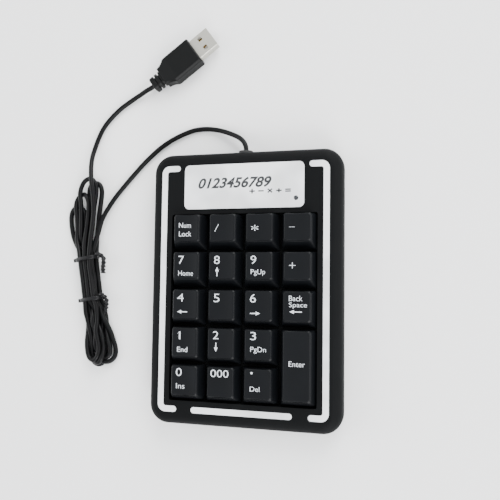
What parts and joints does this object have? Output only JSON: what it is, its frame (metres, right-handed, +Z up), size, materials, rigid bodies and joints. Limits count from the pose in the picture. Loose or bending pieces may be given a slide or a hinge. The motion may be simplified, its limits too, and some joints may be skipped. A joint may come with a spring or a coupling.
{
  "type": "numeric keypad",
  "caption": "Slim desk number pad: black rounded case with bright trim, sloped push keys over rubber domes, and a thin lead folded into a tied hank ending in a flat plug.",
  "frame": {"origin": "on the table under the middle of the case, without the lead", "axes": "+X to the user's right, +Y to the rear where the lead leaves, +Z up out of the key tops"},
  "size_m": [0.1562, 0.2098, 0.0188],
  "materials": {
    "case_plastic": "fine spark-eroded satin ABS",
    "key_plastic": "satin ABS with a fine texture",
    "silver_trim": "bright silver, lightly brushed",
    "steel_wire": "plain steel",
    "dome_rubber": "translucent silicone",
    "membrane_film": "clear polyester film",
    "black_rubber": "matt rubber",
    "board_laminate": "green solder mask",
    "chip_epoxy": "moulded epoxy",
    "white_nylon": "moulded nylon",
    "led_red": "clear tinted epoxy",
    "smoked_lens": "smoked acrylic",
    "cord_pvc": "soft satin PVC",
    "tie_plastic": "thin coated wire tie",
    "plug_pvc": "satin moulded PVC",
    "plug_steel": "nickel-plated stamped steel",
    "gold_contact": "gold-plated"
  },
  "bodies": {
    "case": {"top_cover": "case_plastic", "bottom_cover": "case_plastic", "name_plate": "silver_trim", "trim_left": "silver_trim", "trim_right": "silver_trim", "trim_front": "silver_trim", "rubber_domes": "dome_rubber", "membrane_upper": "membrane_film", "membrane_spacer": "membrane_film", "membrane_lower": "membrane_film", "tail_pad": "black_rubber", "circuit_board": "board_laminate", "controller_chip": "chip_epoxy", "crystal": "steel_wire", "wire_header": "white_nylon", "status_led": "led_red", "led_lens": "smoked_lens", "board_screws": "steel_wire", "case_screws": "steel_wire", "rubber_feet": "black_rubber", "cord_grommet": "cord_pvc", "cord_inside": "cord_pvc", "core_wires": "white_nylon", "cord_lead": "cord_pvc", "cord_hank": "cord_pvc", "cord_tail": "cord_pvc", "tie_upper": "tie_plastic", "tie_lower": "tie_plastic", "plug_grip": "plug_pvc", "plug_relief": "plug_pvc", "plug_shell": "plug_steel", "plug_tongue": "white_nylon", "plug_contacts": "gold_contact"},
    "num_lock_key": {"key_num_lock": "key_plastic"},
    "divide_key": {"key_divide": "key_plastic"},
    "multiply_key": {"key_multiply": "key_plastic"},
    "minus_key": {"key_minus": "key_plastic"},
    "7_key": {"key_7": "key_plastic"},
    "8_key": {"key_8": "key_plastic"},
    "9_key": {"key_9": "key_plastic"},
    "plus_key": {"key_plus": "key_plastic"},
    "4_key": {"key_4": "key_plastic"},
    "5_key": {"key_5": "key_plastic"},
    "6_key": {"key_6": "key_plastic"},
    "backspace_key": {"key_backspace": "key_plastic"},
    "1_key": {"key_1": "key_plastic"},
    "2_key": {"key_2": "key_plastic"},
    "3_key": {"key_3": "key_plastic"},
    "enter_key": {"key_enter": "key_plastic"},
    "0_key": {"key_0": "key_plastic"},
    "000_key": {"key_000": "key_plastic"},
    "decimal_key": {"key_decimal": "key_plastic"},
    "stabiliser": {"enter_stabiliser": "steel_wire"}
  },
  "joints": [
    {"name": "press_num_lock", "type": "slide", "parent": "case", "child": "num_lock_key", "axis": [0, 0, -1], "range_m": [0, 0.003], "stiffness_N_per_m": 180, "springref_m": -0.001, "deforming": ["rubber_domes"]},
    {"name": "press_divide", "type": "slide", "parent": "case", "child": "divide_key", "axis": [0, 0, -1], "range_m": [0, 0.003], "stiffness_N_per_m": 180, "springref_m": -0.001, "deforming": ["rubber_domes"]},
    {"name": "press_multiply", "type": "slide", "parent": "case", "child": "multiply_key", "axis": [0, 0, -1], "range_m": [0, 0.003], "stiffness_N_per_m": 180, "springref_m": -0.001, "deforming": ["rubber_domes"]},
    {"name": "press_minus", "type": "slide", "parent": "case", "child": "minus_key", "axis": [0, 0, -1], "range_m": [0, 0.003], "stiffness_N_per_m": 180, "springref_m": -0.001, "deforming": ["rubber_domes"]},
    {"name": "press_7", "type": "slide", "parent": "case", "child": "7_key", "axis": [0, 0, -1], "range_m": [0, 0.003], "stiffness_N_per_m": 180, "springref_m": -0.001, "deforming": ["rubber_domes"]},
    {"name": "press_8", "type": "slide", "parent": "case", "child": "8_key", "axis": [0, 0, -1], "range_m": [0, 0.003], "stiffness_N_per_m": 180, "springref_m": -0.001, "deforming": ["rubber_domes"]},
    {"name": "press_9", "type": "slide", "parent": "case", "child": "9_key", "axis": [0, 0, -1], "range_m": [0, 0.003], "stiffness_N_per_m": 180, "springref_m": -0.001, "deforming": ["rubber_domes"]},
    {"name": "press_plus", "type": "slide", "parent": "case", "child": "plus_key", "axis": [0, 0, -1], "range_m": [0, 0.003], "stiffness_N_per_m": 180, "springref_m": -0.001, "deforming": ["rubber_domes"]},
    {"name": "press_4", "type": "slide", "parent": "case", "child": "4_key", "axis": [0, 0, -1], "range_m": [0, 0.003], "stiffness_N_per_m": 180, "springref_m": -0.001, "deforming": ["rubber_domes"]},
    {"name": "press_5", "type": "slide", "parent": "case", "child": "5_key", "axis": [0, 0, -1], "range_m": [0, 0.003], "stiffness_N_per_m": 180, "springref_m": -0.001, "deforming": ["rubber_domes"]},
    {"name": "press_6", "type": "slide", "parent": "case", "child": "6_key", "axis": [0, 0, -1], "range_m": [0, 0.003], "stiffness_N_per_m": 180, "springref_m": -0.001, "deforming": ["rubber_domes"]},
    {"name": "press_backspace", "type": "slide", "parent": "case", "child": "backspace_key", "axis": [0, 0, -1], "range_m": [0, 0.003], "stiffness_N_per_m": 180, "springref_m": -0.001, "deforming": ["rubber_domes"]},
    {"name": "press_1", "type": "slide", "parent": "case", "child": "1_key", "axis": [0, 0, -1], "range_m": [0, 0.003], "stiffness_N_per_m": 180, "springref_m": -0.001, "deforming": ["rubber_domes"]},
    {"name": "press_2", "type": "slide", "parent": "case", "child": "2_key", "axis": [0, 0, -1], "range_m": [0, 0.003], "stiffness_N_per_m": 180, "springref_m": -0.001, "deforming": ["rubber_domes"]},
    {"name": "press_3", "type": "slide", "parent": "case", "child": "3_key", "axis": [0, 0, -1], "range_m": [0, 0.003], "stiffness_N_per_m": 180, "springref_m": -0.001, "deforming": ["rubber_domes"]},
    {"name": "press_enter", "type": "slide", "parent": "case", "child": "enter_key", "axis": [0, 0, -1], "range_m": [0, 0.003], "stiffness_N_per_m": 180, "springref_m": -0.001, "deforming": ["rubber_domes"]},
    {"name": "press_0", "type": "slide", "parent": "case", "child": "0_key", "axis": [0, 0, -1], "range_m": [0, 0.003], "stiffness_N_per_m": 180, "springref_m": -0.001, "deforming": ["rubber_domes"]},
    {"name": "press_000", "type": "slide", "parent": "case", "child": "000_key", "axis": [0, 0, -1], "range_m": [0, 0.003], "stiffness_N_per_m": 180, "springref_m": -0.001, "deforming": ["rubber_domes"]},
    {"name": "press_decimal", "type": "slide", "parent": "case", "child": "decimal_key", "axis": [0, 0, -1], "range_m": [0, 0.003], "stiffness_N_per_m": 180, "springref_m": -0.001, "deforming": ["rubber_domes"]},
    {"name": "stabiliser_turn", "type": "hinge", "parent": "case", "child": "stabiliser", "pos_m": [0.03417, -0.03837, 0.0108], "axis": [0, -1, 0], "range_deg": [0, 24.8]}
  ],
  "couplings": [
    {"joint": "stabiliser_turn", "follows": "press_enter", "rad_per_m": 143.97}
  ]
}
